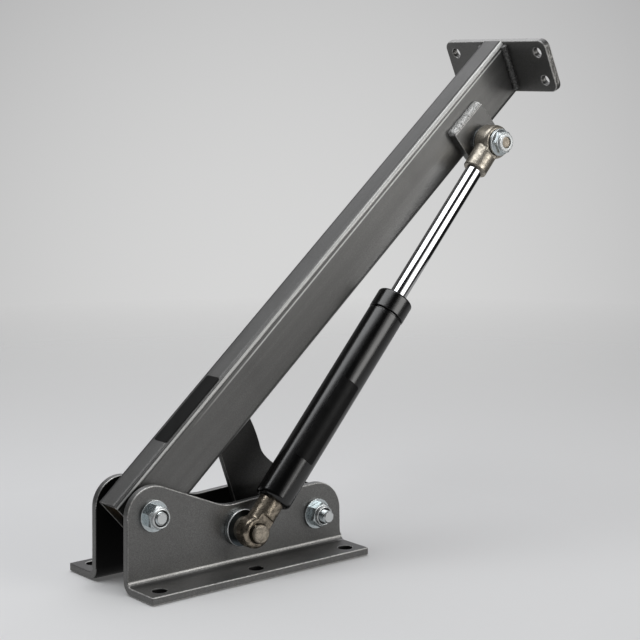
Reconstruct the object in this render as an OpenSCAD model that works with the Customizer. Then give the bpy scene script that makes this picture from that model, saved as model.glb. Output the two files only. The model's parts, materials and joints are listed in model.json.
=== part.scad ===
// Bed lift mechanism: a hinged arm of rectangular tube between two angle brackets,
// pushed up by a gas spring and caught by a stop plate at the raised limit.
// Drawn in the raised pose. X runs along the brackets, the arm rises towards +X,
// the gas spring is on the -Y side, and Z = 0 is the underside of the feet.

/* [Base brackets] */
// Length of a bracket's foot
base_len = 202; // [192:1:240]
// Thickness of the bracket plate
plate_t = 6; // [5:0.25:7]
// Clear gap between the two uprights
bracket_gap = 38; // [36:0.5:44]
// Width of a foot, from its upright's outer face to its free edge
foot_reach = 33.5; // [30:0.5:45]
// Inside radius of the bend between foot and upright
bend_r = 4; // [1.5:0.25:5]
// How much shorter the upright is than the foot, at each end
upright_inset = 1.5; // [1:0.25:4]
// Radius of the upright's lobe round the arm pivot
pivot_lobe_r = 22.5; // [19:0.5:24]
// Radius of the upright's lobe round the stop bolt
stop_lobe_r = 24.5; // [20:0.5:25]
// Height of the arm pivot
pivot_z = 56; // [53:0.5:60]
// Height of the stop bolt
stop_z = 31.5; // [30:0.5:34]
// Place of the low point of the upright's top edge, along X
saddle_x = -12; // [-16:1:-6]
// Height of that low point
saddle_z = 52.3; // [51:0.1:55]
// Length of the rounding at that low point, to each side
saddle_blend = 9; // [6:0.5:12]
// Height over which the upright's ends run out to the foot's length
end_flare_h = 6; // [4:0.5:10]
// Radius of the rounded outer corners of a foot
foot_corner_r = 1.25; // [0.5:0.25:8]
// Diameter of the fixing holes in the feet
foot_hole_d = 11; // [9:0.5:13]
// Distance between neighbouring fixing holes along a foot
foot_hole_pitch = 87; // [80:1:90]
// Distance of the fixing holes from the upright's outer face
foot_hole_y = 21.5; // [16:0.5:24]

/* [Fasteners] */
// Thread diameter of the pivot bolt, the stop bolt and the upper stud
bolt_d = 10; // [9:0.25:11]
// Width across flats of the bolt heads and lock nuts
hex_af = 17; // [16:0.25:19]
// Height of a bolt head
head_h = 6.4; // [5:0.2:8]
// Height of the hexagon of a lock nut
nut_hex_h = 7; // [6:0.25:9]
// Height of the round collar of a lock nut
nut_collar_h = 2.5; // [2:0.25:4]
// Diameter of that collar
nut_collar_d = 15.6; // [14:0.2:16]
// Outside diameter of the bolt washers
washer_d = 24; // [20:0.5:26]
// Thickness of the bolt washers
washer_t = 2; // [1.5:0.25:3]
// Length of the pivot bolt that stands out of its nut
pivot_bolt_tip = 0.6; // [0.4:0.2:4]
// Length of the stop bolt that stands out of its nut
stop_bolt_tip = 5.5; // [2:0.5:8]
// Turn of the pivot bolt's lock nut
pivot_nut_turn = 38; // [0:1:59]
// Turn of the stop bolt's lock nut
stop_nut_turn = 18; // [0:1:59]
// Radial clearance of a bolt in a plate
bolt_hole_gap = 0.25; // [0.15:0.05:0.5]
// Outside diameter of the sleeve on the stop bolt
sleeve_d = 16; // [14:0.5:18]

/* [Arm] */
// Angle of the raised arm above level
arm_deg = 40.6; // [40:0.2:42]
// Angle through which the arm is let down
lift_deg = 23; // [18:0.5:24]
// Width of the arm's tube
tube_w = 25; // [22:0.5:27]
// Height of the arm's tube
tube_h = 45; // [42:0.5:46]
// Wall of the arm's tube
tube_wall = 2.5; // [2:0.25:3]
// Outside corner radius of the arm's tube
tube_corner_r = 4.5; // [4:0.25:6]
// Length of the tube's upper side beyond the pivot
arm_len = 502; // [480:2:560]
// Length of the tube behind the pivot
arm_tail = 13.5; // [11:0.5:14]
// Outside diameter of the bush across the tube
bush_d = 16; // [14:0.5:18]
// Length of the bush that stands out of each side of the tube
bush_proud = 0.5; // [0.25:0.25:1.5]
// Side play between the bush and each spacer
side_play = 0.15; // [0.1:0.05:0.3]
// Outside diameter of the spacers beside the bush
spacer_d = 24; // [20:1:28]

/* [End plate] */
// Width of the end plate
end_w = 120; // [112:1:140]
// Height of the end plate
end_h = 46; // [44:0.5:47]
// Thickness of the end plate
end_t = 6; // [5:0.5:8]
// Corner radius of the end plate
end_corner_r = 7; // [3:0.5:9]
// Distance of the end plate's holes across the arm
end_pitch_y = 98; // [90:1:100]
// Distance of the end plate's holes up the plate
end_pitch_z = 25; // [20:0.5:28]
// Diameter of the end plate's holes
end_hole_d = 8.5; // [6.5:0.5:10]

/* [Stop plate] */
// Thickness of the stop plate
stop_t = 5; // [4:0.5:8]
// Distance along the arm from the pivot to the stop plate
stop_start = 80.4; // [76:0.4:84]
// Radius of the stop plate's hollow edge about the pivot
hollow_r = 119.5; // [116:0.5:122]
// Direction from the pivot at which the hollow edge starts to flare
flare_deg = 14.7; // [12:0.1:17]
// Radius of the stop plate's lobe round the stop bolt
hook_r = 21.8; // [18:0.2:22]
// Direction from the stop bolt at which the hollow edge runs into that lobe
hook_deg = 62; // [58:1:66]
// Lower left corner of the stop plate, along X
heel_x = 18; // [14:0.5:24]
// Height of that corner
heel_z = 33; // [28:0.5:38]
// Clearance between the stop plate's slot and the sleeve
slot_gap = 0.3; // [0.2:0.05:0.6]
// Leg of the weld beads beside the stop plate and above the lug
weld_leg = 3; // [2:0.25:4]
// Leg of the weld beads at the end plate
end_weld_leg = 4.5; // [2:0.25:5]

/* [Gas spring lug] */
// Width of the lug along the arm
lug_w = 39.5; // [34:0.5:46]
// Thickness of the lug
lug_t = 7; // [6:0.25:8]
// Distance along the arm from its pivot to the upper stud
stud_s = 426; // [420:1:440]
// Distance of the upper stud below the tube's centre line
stud_drop = 21.5; // [20:0.5:25]
// Height of the lug's top edge above the tube's centre line
lug_rise = 3; // [0:0.5:6]
// Diameter of the flange of the upper nut
flange_nut_d = 22.5; // [22:0.5:26]
// Length of the upper stud that stands out of its nut, below zero where it ends inside
stud_tip = -1; // [-2:0.25:4]

/* [Gas spring] */
// Place of the gas spring's lower pin, along X
pin_x = 1; // [-1:0.5:4]
// Height of the lower pin
pin_z = 33.5; // [32:0.5:36]
// Clearance between the bracket and a barrel that is level with the lower eye
barrel_side_gap = 2.25; // [2.25:0.25:4]
// Clearance between the upper eye and the washer behind it
eye_side_gap = 0.9; // [0.8:0.1:1.6]
// Diameter of the lower pin
pin_d = 14; // [12:0.5:15]
// Length of the lower pin that stands out of the eye
pin_tip = 5; // [3:0.5:8]
// Diameter of the pin's shoulder behind the eye
shoulder_d = 19; // [17:0.5:22]
// Diameter of the pin's threaded tail
tail_d = 12; // [10:0.5:13]
// Outside diameter of the washer under the pin's shoulder
pin_washer_d = 29.5; // [24:0.5:32]
// Thickness of that washer
pin_washer_t = 4.5; // [1.5:0.25:5]
// Height of the thin nut on the pin's tail
tail_nut_h = 4.5; // [3.5:0.25:5]
// Thickness of the lower eye
low_eye_t = 14; // [12:0.5:14.5]
// Thickness of the upper eye
high_eye_t = 16; // [13:0.5:17]
// Outside diameter of the lower eye
low_eye_d = 25; // [24:0.5:28]
// Outside diameter of the upper eye
high_eye_d = 28; // [27:0.5:32]
// Diameter of the eyes' shanks
shank_d = 20; // [17:0.5:21]
// Length from the lower pin to the flats on its eye's shank
flat_len = 14; // [12:0.5:18]
// Length from the upper stud to the end of its eye's shank
collar_len = 30.5; // [28:0.5:36]
// Diameter of the barrel
barrel_d = 29; // [27:0.5:30]
// Wall of the barrel
barrel_wall = 1.5; // [1:0.25:2.5]
// Length from the lower pin to the barrel
barrel_start = 27.5; // [26:0.5:30]
// Length from the lower pin to the top of the head cap
head_top = 222; // [214:1:228]
// Length of the head cap
cap_len = 18; // [14:0.5:22]
// How far the head cap stands out beyond the barrel
cap_step = 0.4; // [0.2:0.1:1]
// Diameter of the piston rod
rod_d = 14; // [12:0.5:15]
// Length of the rod guide
guide_len = 14; // [10:0.5:20]
// Length of the rod seal
seal_len = 5; // [4:0.5:8]
// Length of the piston
piston_len = 12; // [8:0.5:16]
// Radial running clearance of pins, rod and piston
running_gap = 0.05; // [0.02:0.01:0.1]
// Extra radius of the upper eye's bore, in which the stud floats
float_gap = 1.8; // [1.5:0.1:2.2]

/* [Labels] */
// Length of the blank label on the arm
arm_label_len = 66; // [50:1:80]
// Width of the blank label on the arm
arm_label_w = 16.5; // [10:0.5:18]
// Distance of that label from the pivot
arm_label_s = 49; // [40:1:60]
// Distance of that label's middle in front of the tube's
arm_label_y = 1.7; // [0:0.1:2]
// Length of the blank label on the barrel
barrel_label_len = 73; // [60:1:110]
// Width of that label
barrel_label_w = 16.5; // [12:0.5:20]
// Distance of that label from the lower pin
barrel_label_s = 65.5; // [60:0.5:90]
// Turn of that label round the barrel, down from the side that faces the front
barrel_label_turn = -17.5; // [-40:2.5:40]
// Thickness of the labels
label_t = 0.25; // [0.2:0.05:0.4]

/* [Hidden] */
$fn = 64;

eps = 0.01;
far = 1000;
slice = 1;

// Where the inner and outer faces of the uprights are
inner_y = bracket_gap / 2;
outer_y = inner_y + plate_t;
upright_half = base_len / 2 - upright_inset;
pivot_x = -(upright_half - pivot_lobe_r);
stop_x = upright_half - stop_lobe_r;
pivot = [pivot_x, pivot_z];
stop_at = [stop_x, stop_z];
top_bend_z = plate_t + bend_r;

bolt_r = bolt_d / 2;
sleeve_r = sleeve_d / 2;
slot_r = sleeve_r + slot_gap;
nut_h = nut_hex_h + nut_collar_h;
washer_hole_r = bolt_r + bolt_hole_gap;
thread_gap = 0.03;
sealed_gap = 0.02;
bolt_chamfer = 1;
hex_chamfer = 0.8;
edge_chamfer = 0.6;

// Points given along and above the arm's centre line, in X and Z
function arm_pt(s, n) = [
    pivot_x + s * cos(arm_deg) - n * sin(arm_deg),
    pivot_z + s * sin(arm_deg) + n * cos(arm_deg)
];
function polar(centre, r, a) = centre + r * [cos(a), sin(a)];
function curve(p0, p1, p2, count) = [
    for (i = [0 : count]) let (t = i / count)
        (1 - t) * (1 - t) * p0 + 2 * t * (1 - t) * p1 + t * t * p2
];
function arc(centre, r, a0, a1, count) = [
    for (i = [0 : count]) polar(centre, r, a0 + (a1 - a0) * i / count)
];
// Where two lines meet, each given by a point and a direction
function meet(p, u, q, v) = p + u * cross(q - p, v) / cross(u, v);
// Where a line through p touches a circle, a hair inside it so that line and circle cross
function tangent_pt(p, centre, r, side) =
    let (d = p - centre, in_r = r - eps)
        polar(centre, in_r, atan2(d[1], d[0]) + side * acos(in_r / norm(d)));

// The end plate is plumb when the arm is down, so it leans by the lift angle
end_lean = lift_deg;
end_turn = arm_deg - end_lean;
cut_h = tube_h / cos(end_turn);

// Middle planes of the gas spring's eyes, in front of the middle of the mechanism
lug_face_y = tube_w / 2 + lug_t;
low_eye_y = outer_y + barrel_d / 2 + barrel_side_gap;
high_eye_y = lug_face_y + washer_t + eye_side_gap + high_eye_t / 2;

// Gas spring: from the lower pin to the upper stud
stud_at = arm_pt(stud_s, -stud_drop);
reach = stud_at - [pin_x, pin_z];
spring_deg = atan2(reach[1], reach[0]);
lean_y = low_eye_y - high_eye_y;
spring_len = norm([reach[0], reach[1], lean_y]);
lean_deg = asin(lean_y / spring_len);
pin_r = pin_d / 2;
rod_r = rod_d / 2;
shank_r = shank_d / 2;
barrel_r = barrel_d / 2;
bore_r = barrel_r - barrel_wall;
fit_r = bore_r - sealed_gap;
thread_r = 5;
eye_edge_r = 3.5;
shank_gap = 0.2;
barrel_end_r = 4;
floor_t = 3;
plug_len = 18;
plug_floor_t = 4;
plug_start = barrel_start + floor_t;
barrel_top = head_top - cap_len;
spigot_len = 4;
cap_gap = 0.4;
cap_groove = 1.4;
cap_edge_r = 2;
seal_top = barrel_top - spigot_len;
guide_top = seal_top - seal_len;
guide_low = guide_top - guide_len;
piston_room = 1.5;
piston_top = guide_low - piston_room;
piston_low = piston_top - piston_len;
ring_groove = 2;
piston_nut_h = 5;
rod_end = piston_low - piston_nut_h;
collar_end = spring_len - collar_len;
rod_screw_len = 12;

// How far the rod slides in as the arm is let down, which moves the upper eye to the front
stud_from_pivot = stud_at - pivot;
stud_down = polar(pivot, norm(stud_from_pivot), atan2(stud_from_pivot[1], stud_from_pivot[0]) - lift_deg);
down_reach = stud_down - [pin_x, pin_z];
rod_travel = spring_len - norm([down_reach[0], down_reach[1], lean_y]);
nut_play = 0.35;
upper_nut_y = high_eye_y + high_eye_t / 2 + rod_travel * sin(lean_deg) + nut_play;
lug_weld_inset = 1;
flange_t = 2;
flange_cone_h = 1.6;
upper_hex_h = 6.5;
upper_nut_h = 8.75;

// Lower pin, from its tail between the brackets to its tip in front of the eye
eye_play = 0.2;
pin_washer_y = outer_y + pin_washer_t;
shoulder_y = low_eye_y - low_eye_t / 2 - eye_play;
clip_y = low_eye_y + low_eye_t / 2 + eye_play;
clip_t = 1.2;
clip_depth = 0.8;
clip_proud = 1;
clip_play = 0.05;
clip_open_w = 3;
clip_open_deg = 110;
pin_chamfer = 0.7;
pin_end_y = low_eye_y + low_eye_t / 2 + pin_tip;
tail_proud = 0.5;
tail_end_y = inner_y - tail_nut_h - tail_proud;
tail_nut_af = tail_d + hex_af - bolt_d;

// Frames

// Local Z runs to the front, away from the middle of the mechanism
module across(p) {
    translate([p[0], 0, p[1]]) rotate([90, 0, 0]) children();
}
// A plate in the XZ plane whose middle is at y
module plate_xz(y, t) {
    translate([0, y + t / 2, 0]) rotate([90, 0, 0]) linear_extrude(t) children();
}
// Local X runs along the arm, local Z away from its underside
module on_arm() {
    translate([pivot_x, 0, pivot_z]) rotate([0, -arm_deg, 0]) children();
}
// Local X runs out of the end plate, local Z up the plate, from the arm's upper side
module on_end() {
    on_arm() translate([arm_len, 0, tube_h / 2]) rotate([0, end_turn, 0]) children();
}
// Local X lies above the gas spring, local Y stays along the pins
module on_spring() {
    translate([pin_x, -low_eye_y, pin_z]) rotate([0, -spring_deg, 0]) children();
}
// Local X is the axis of barrel and rod
module on_rod() {
    on_spring() rotate([0, 0, lean_deg]) children();
}
module rod_along(from, to, r) {
    translate([from, 0, 0]) rotate([0, 90, 0]) cylinder(h = to - from, r = r);
}
// The profile's Y is the distance along the gas spring, its X the radius
module turned_on_rod() {
    rotate([0, 90, 0]) rotate_extrude() children();
}

// Common shapes

module ring(z0, h, r_out, r_in) {
    translate([0, 0, z0]) difference() {
        cylinder(h = h, r = r_out);
        translate([0, 0, -slice]) cylinder(h = h + 2 * slice, r = r_in);
    }
}
module chamfered_hex(z0, h, af, chamfer) {
    corner_r = af / 2 / cos(30);
    translate([0, 0, z0]) intersection() {
        cylinder(h = h, r = corner_r, $fn = 6);
        union() {
            cylinder(h = h - chamfer, r = corner_r + slice);
            translate([0, 0, h - chamfer])
                cylinder(h = chamfer, r1 = corner_r, r2 = corner_r - chamfer / tan(30));
        }
    }
}
module chamfered_rod(z0, z1, r, chamfer) {
    translate([0, 0, z0]) cylinder(h = z1 - z0 - chamfer, r = r);
    translate([0, 0, z1 - chamfer]) cylinder(h = chamfer, r1 = r, r2 = r - chamfer);
}
module rounded_rect(w, h, r) {
    square([w - 2 * r, h], center = true);
    square([w, h - 2 * r], center = true);
    for (x = [-1, 1], y = [-1, 1])
        translate([x * (w / 2 - r), y * (h / 2 - r)]) circle(r);
}
module lock_nut(z0, turn) {
    rotate([0, 0, turn]) difference() {
        union() {
            chamfered_hex(z0, nut_hex_h, hex_af, hex_chamfer);
            chamfered_rod(z0 + nut_hex_h - eps, z0 + nut_h, nut_collar_d / 2, edge_chamfer);
        }
        translate([0, 0, z0 - slice]) cylinder(h = nut_h + 2 * slice, r = bolt_r + thread_gap);
    }
}
module hex_bolt(tip) {
    head_z = -outer_y - washer_t;
    chamfered_rod(head_z - eps, outer_y + washer_t + nut_h + tip, bolt_r, min(bolt_chamfer, tip));
    mirror([0, 0, 1]) chamfered_hex(-head_z, head_h, hex_af, hex_chamfer);
}
module washer_pair() {
    for (z = [-outer_y - washer_t, outer_y])
        ring(z, washer_t, washer_d / 2, washer_hole_r);
}

// Base brackets

module upright_outline() {
    saddle = [saddle_x, saddle_z];
    left_top = tangent_pt(saddle, pivot, pivot_lobe_r, 1);
    right_top = tangent_pt(saddle, stop_at, stop_lobe_r, -1);
    left_in = saddle + saddle_blend * (left_top - saddle) / norm(left_top - saddle);
    right_in = saddle + saddle_blend * (right_top - saddle) / norm(right_top - saddle);
    flare = curve([base_len / 2, top_bend_z], [upright_half, top_bend_z + end_flare_h / 6],
                  [upright_half, top_bend_z + end_flare_h], 5);
    polygon(concat(
        [[-base_len / 2, top_bend_z], [-upright_half, pivot_z], pivot, left_top],
        curve(left_in, saddle, right_in, 8),
        [right_top, stop_at, [upright_half, stop_z]],
        [for (i = [len(flare) - 1 : -1 : 0]) flare[i]]
    ));
    // The lobes end where the bend starts
    intersection() {
        union() {
            translate(pivot) circle(pivot_lobe_r);
            translate(stop_at) circle(stop_lobe_r);
        }
        translate([-base_len / 2, top_bend_z])
            square([base_len, max(pivot_z + pivot_lobe_r, stop_z + stop_lobe_r)]);
    }
}
module foot_outline() {
    from_y = outer_y + bend_r;
    to_y = outer_y + foot_reach;
    half = base_len / 2;
    translate([-half, from_y]) square([base_len, to_y - foot_corner_r - from_y]);
    translate([-half + foot_corner_r, from_y]) square([base_len - 2 * foot_corner_r, to_y - from_y]);
    for (x = [-1, 1])
        translate([x * (half - foot_corner_r), to_y - foot_corner_r]) circle(foot_corner_r);
}
// A bracket whose foot points to +Y
module bracket_body() {
    bend_at = [-base_len / 2, outer_y + bend_r, top_bend_z];
    difference() {
        union() {
            plate_xz(inner_y + plate_t / 2, plate_t) upright_outline();
            linear_extrude(plate_t) foot_outline();
            intersection() {
                translate(bend_at) rotate([0, 90, 0]) ring(0, base_len, bend_r + plate_t, bend_r);
                translate([-base_len / 2 - slice, inner_y - slice, -slice])
                    cube([base_len + 2 * slice, bend_at[1] - inner_y + slice, top_bend_z + slice]);
            }
        }
        for (i = [-1 : 1])
            translate([i * foot_hole_pitch, outer_y + foot_hole_y, -slice])
                cylinder(h = plate_t + 2 * slice, r = foot_hole_d / 2);
        for (p = [pivot, stop_at])
            across(p) translate([0, 0, -outer_y - slice])
                cylinder(h = plate_t + 2 * slice, r = bolt_r + bolt_hole_gap);
    }
}
module front_bracket() color([0.33, 0.33, 0.32]) difference() {
    mirror([0, 1, 0]) bracket_body();
    across([pin_x, pin_z]) translate([0, 0, inner_y - slice])
        cylinder(h = plate_t + 2 * slice, r = tail_d / 2 + bolt_hole_gap);
}
module rear_bracket() color([0.33, 0.33, 0.32]) bracket_body();

// Pivot bolt and stop bolt

module pivot_bolt() color([0.78, 0.82, 0.84]) across(pivot) hex_bolt(pivot_bolt_tip);
module pivot_nut() color([0.78, 0.82, 0.84]) across(pivot)
    lock_nut(outer_y + washer_t, pivot_nut_turn);
module pivot_washers() color([0.78, 0.82, 0.84]) across(pivot) washer_pair();
module pivot_spacers() color([0.12, 0.12, 0.12]) across(pivot) {
    spacer_from = tube_w / 2 + bush_proud + side_play;
    for (z = [-inner_y, spacer_from])
        ring(z, inner_y - spacer_from, spacer_d / 2, washer_hole_r);
}
module stop_bolt() color([0.78, 0.82, 0.84]) across(stop_at) hex_bolt(stop_bolt_tip);
module stop_nut() color([0.78, 0.82, 0.84]) across(stop_at)
    lock_nut(outer_y + washer_t, stop_nut_turn);
module stop_washers() color([0.78, 0.82, 0.84]) across(stop_at) washer_pair();
module stop_sleeve() color([0.45, 0.46, 0.47]) across(stop_at)
    ring(-inner_y, bracket_gap, sleeve_r, washer_hole_r);

// Lower pin of the gas spring

module lower_pin() color([0.56, 0.52, 0.46]) across([pin_x, pin_z]) difference() {
    union() {
        translate([0, 0, tail_end_y]) cylinder(h = pin_washer_y - tail_end_y + eps, r = tail_d / 2);
        translate([0, 0, pin_washer_y]) cylinder(h = shoulder_y - pin_washer_y, r = shoulder_d / 2);
        chamfered_rod(shoulder_y - eps, pin_end_y, pin_r, pin_chamfer);
    }
    ring(clip_y, clip_t + 2 * clip_play, pin_r + slice, pin_r - clip_depth);
}
module lower_pin_washer() color([0.74, 0.79, 0.82]) across([pin_x, pin_z])
    ring(outer_y, pin_washer_t, pin_washer_d / 2, tail_d / 2 + bolt_hole_gap);
module lower_pin_nut() color([0.74, 0.79, 0.82]) across([pin_x, pin_z]) difference() {
    mirror([0, 0, 1]) chamfered_hex(-inner_y, tail_nut_h, tail_nut_af, edge_chamfer);
    translate([0, 0, inner_y - tail_nut_h - slice])
        cylinder(h = tail_nut_h + 2 * slice, r = tail_d / 2 + thread_gap);
}
module lower_pin_clip() color([0.15, 0.15, 0.15]) across([pin_x, pin_z]) difference() {
    ring(clip_y + clip_play, clip_t, pin_r + clip_proud, pin_r - clip_depth + clip_play);
    rotate([0, 0, clip_open_deg]) translate([0, -clip_open_w / 2, clip_y - slice])
        cube([pin_d, clip_open_w, clip_t + 2 * slice]);
}

// Arm

module tube_section() difference() {
    rounded_rect(tube_w, tube_h, tube_corner_r);
    rounded_rect(tube_w - 2 * tube_wall, tube_h - 2 * tube_wall, tube_corner_r - tube_wall);
}
module arm_tube() color([0.36, 0.36, 0.35]) difference() {
    on_arm() translate([-arm_tail, 0, 0]) rotate([90, 0, 90])
        linear_extrude(arm_len + arm_tail + tube_h) tube_section();
    on_end() translate([0, -tube_w, -2 * tube_h]) cube([3 * tube_h, 2 * tube_w, 4 * tube_h]);
    across(pivot) cylinder(h = 2 * tube_w, r = bush_d / 2, center = true);
}
module pivot_bush() color([0.5, 0.46, 0.36]) across(pivot)
    ring(-tube_w / 2 - bush_proud, tube_w + 2 * bush_proud, bush_d / 2, bolt_r + running_gap);
module end_plate() color([0.33, 0.33, 0.32]) on_end() translate([0, 0, -cut_h / 2])
    rotate([90, 0, 90]) difference() {
        linear_extrude(end_t) rounded_rect(end_w, end_h, end_corner_r);
        for (y = [-1, 1], z = [-1, 1])
            translate([y * end_pitch_y / 2, z * end_pitch_z / 2, -slice])
                cylinder(h = end_t + 2 * slice, r = end_hole_d / 2);
    }

// Stop plate

module stop_outline() {
    top_left = arm_pt(stop_start, -tube_h / 2);
    heel = [heel_x, heel_z];
    hook_low = tangent_pt(heel, stop_at, hook_r, 1);
    hook_top = polar(stop_at, hook_r - eps, hook_deg);
    hollow_end = polar(pivot, hollow_r, flare_deg);
    flare_mid = meet(hollow_end, [sin(flare_deg), -cos(flare_deg)],
                     hook_top, [sin(hook_deg), -cos(hook_deg)]);
    hollow_top_deg = arm_deg - asin(tube_h / 2 / hollow_r);
    polygon(concat(
        [top_left, heel, hook_low, stop_at],
        curve(hook_top, flare_mid, hollow_end, 10),
        arc(pivot, hollow_r, flare_deg, hollow_top_deg, 6)
    ));
    translate(stop_at) circle(hook_r);
}
// The way that the sleeve takes past the stop plate as the arm comes down
module sleeve_way() {
    path_r = norm(stop_at - pivot);
    rest_deg = atan2(stop_at[1] - pivot[1], stop_at[0] - pivot[0]);
    open_deg = lift_deg + 6;
    translate(stop_at) circle(slot_r);
    intersection() {
        translate(pivot) difference() {
            circle(path_r + slot_r, $fn = 180);
            circle(path_r - slot_r, $fn = 180);
        }
        polygon([pivot, polar(pivot, 2 * path_r, rest_deg), polar(pivot, 2 * path_r, rest_deg + open_deg)]);
    }
}
module stop_plate() color([0.3, 0.3, 0.29]) plate_xz(0, stop_t) difference() {
    stop_outline();
    sleeve_way();
}

// Welds: each bead is a prism with its right angle in the corner it fills

module bead(len, out, up = weld_leg) {
    linear_extrude(len) polygon([[0, 0], [out, 0], [0, up]]);
}
module weld_beads() color([0.4, 0.4, 0.39]) {
    stop_end = hollow_r * cos(asin(tube_h / 2 / hollow_r));
    for (side = [-1, 1]) {
        on_end() translate([0, side * tube_w / 2, -cut_h + tube_corner_r])
            mirror([0, side < 0 ? 1 : 0, 0]) mirror([1, 0, 0])
                bead(cut_h - 2 * tube_corner_r, end_weld_leg, end_weld_leg);
        on_arm() translate([stop_start + weld_leg, side * stop_t / 2, -tube_h / 2])
            mirror([0, side < 0 ? 1 : 0, 0]) rotate([90, 0, 90])
                mirror([0, 1, 0]) bead(stop_end - stop_start - 3 * weld_leg, weld_leg);
    }
    on_arm() translate([stud_s - lug_w / 2 + lug_weld_inset, -tube_w / 2, lug_rise])
        mirror([0, 1, 0]) rotate([90, 0, 90]) bead(lug_w - 2 * lug_weld_inset, lug_t - lug_weld_inset);
}

// Lug and stud at the upper end of the gas spring

module spring_lug() color([0.36, 0.36, 0.35]) on_arm() difference() {
    plate_xz(-tube_w / 2 - lug_t / 2, lug_t) {
        translate([stud_s - lug_w / 2, -stud_drop]) square([lug_w, stud_drop + lug_rise]);
        translate([stud_s, -stud_drop]) circle(lug_w / 2);
    }
    across([stud_s, -stud_drop]) cylinder(h = far, r = bolt_r + thread_gap, center = true);
}
module upper_stud() color([0.6, 0.56, 0.5]) across(stud_at)
    chamfered_rod(tube_w / 2, upper_nut_y + upper_nut_h + stud_tip, bolt_r, edge_chamfer);
module upper_washer() color([0.74, 0.79, 0.82]) across(stud_at)
    ring(lug_face_y, washer_t, washer_d / 2, washer_hole_r);
module upper_nut() color([0.74, 0.79, 0.82]) across(stud_at) difference() {
    union() {
        chamfered_rod(upper_nut_y, upper_nut_y + flange_t, flange_nut_d / 2, edge_chamfer);
        translate([0, 0, upper_nut_y + flange_t - eps])
            cylinder(h = flange_cone_h, r1 = flange_nut_d / 2 - edge_chamfer, r2 = hex_af / 2);
        translate([0, 0, upper_nut_y + eps]) chamfered_hex(0, upper_hex_h, hex_af, hex_chamfer);
        chamfered_rod(upper_nut_y + eps, upper_nut_y + upper_nut_h, nut_collar_d / 2, edge_chamfer);
    }
    translate([0, 0, upper_nut_y - slice]) cylinder(h = upper_nut_h + 2 * slice, r = bolt_r + thread_gap);
}
module arm_label() color([0.06, 0.06, 0.06]) on_arm()
    translate([arm_label_s, -arm_label_y - arm_label_w / 2, tube_h / 2])
        cube([arm_label_len, arm_label_w, label_t]);

// Gas spring, lower half

module rounded_boss(d, t, edge) {
    translate([0, 0, -t / 2]) rotate_extrude() {
        square([d / 2 - edge, t]);
        translate([0, edge]) square([d / 2, t - 2 * edge]);
        for (z = [edge, t - edge]) translate([d / 2 - edge, z]) circle(edge, $fn = 32);
    }
}
module lower_eye() color([0.52, 0.48, 0.42]) on_spring() difference() {
    union() {
        rotate([90, 0, 0]) rounded_boss(low_eye_d, low_eye_t, eye_edge_r);
        difference() {
            rotate([0, 0, lean_deg]) rod_along(0, barrel_start + floor_t / 2, shank_r);
            for (side = [-1, 1])
                translate([-flat_len, side > 0 ? low_eye_t / 2 : -low_eye_t / 2 - shank_d, -shank_d])
                    cube([2 * flat_len, shank_d, 2 * shank_d]);
        }
        rotate([0, 0, lean_deg]) rod_along(barrel_start, plug_start + plug_len - plug_floor_t, thread_r);
    }
    rotate([90, 0, 0]) cylinder(h = far, r = pin_r + running_gap, center = true);
}
module barrel() color([0.05, 0.05, 0.05]) on_rod() turned_on_rod() {
    difference() {
        union() {
            translate([0, barrel_start]) square([barrel_r - barrel_end_r, barrel_top - barrel_start]);
            translate([0, barrel_start + barrel_end_r])
                square([barrel_r, barrel_top - barrel_start - barrel_end_r]);
            translate([barrel_r - barrel_end_r, barrel_start + barrel_end_r]) circle(barrel_end_r);
        }
        translate([-slice, plug_start]) square([bore_r + slice, far]);
        translate([-slice, 0]) square([shank_r + shank_gap + slice, far]);
    }
}
module barrel_plug() color([0.4, 0.4, 0.4]) on_rod() difference() {
    rod_along(plug_start, plug_start + plug_len, fit_r);
    rod_along(plug_start - slice, plug_start + plug_len - plug_floor_t, thread_r + thread_gap);
}
module rod_guide() color([0.65, 0.55, 0.3]) on_rod() difference() {
    rod_along(guide_low, guide_top, fit_r);
    rod_along(guide_low - slice, guide_top + slice, rod_r + running_gap);
}
module rod_seal() color([0.1, 0.1, 0.1]) on_rod() difference() {
    rod_along(guide_top, seal_top, fit_r);
    rod_along(guide_top - slice, seal_top + slice, rod_r + running_gap);
}
module head_cap() color([0.06, 0.06, 0.06]) on_rod() turned_on_rod() {
    cap_r = barrel_r + cap_step;
    hole_r = rod_r + cap_gap;
    lip = barrel_top + cap_groove;
    round_at = [cap_r - cap_edge_r, head_top - cap_edge_r];
    translate([hole_r, seal_top]) square([fit_r - hole_r, spigot_len]);
    translate([hole_r, barrel_top]) square([barrel_r - edge_chamfer - hole_r, cap_groove]);
    translate([hole_r, lip]) square([round_at[0] - hole_r, cap_len - cap_groove]);
    translate([hole_r, lip]) square([cap_r - hole_r, round_at[1] - lip]);
    translate(round_at) circle(cap_edge_r);
}
module barrel_label() color([0.08, 0.08, 0.08]) on_rod() intersection() {
    turned_on_rod() translate([barrel_r, barrel_label_s]) square([label_t, barrel_label_len]);
    rotate([barrel_label_turn, 0, 0]) translate([0, -2 * barrel_r, -barrel_label_w / 2])
        cube([far, 2 * barrel_r, barrel_label_w]);
}

// Gas spring, moving half

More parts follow.
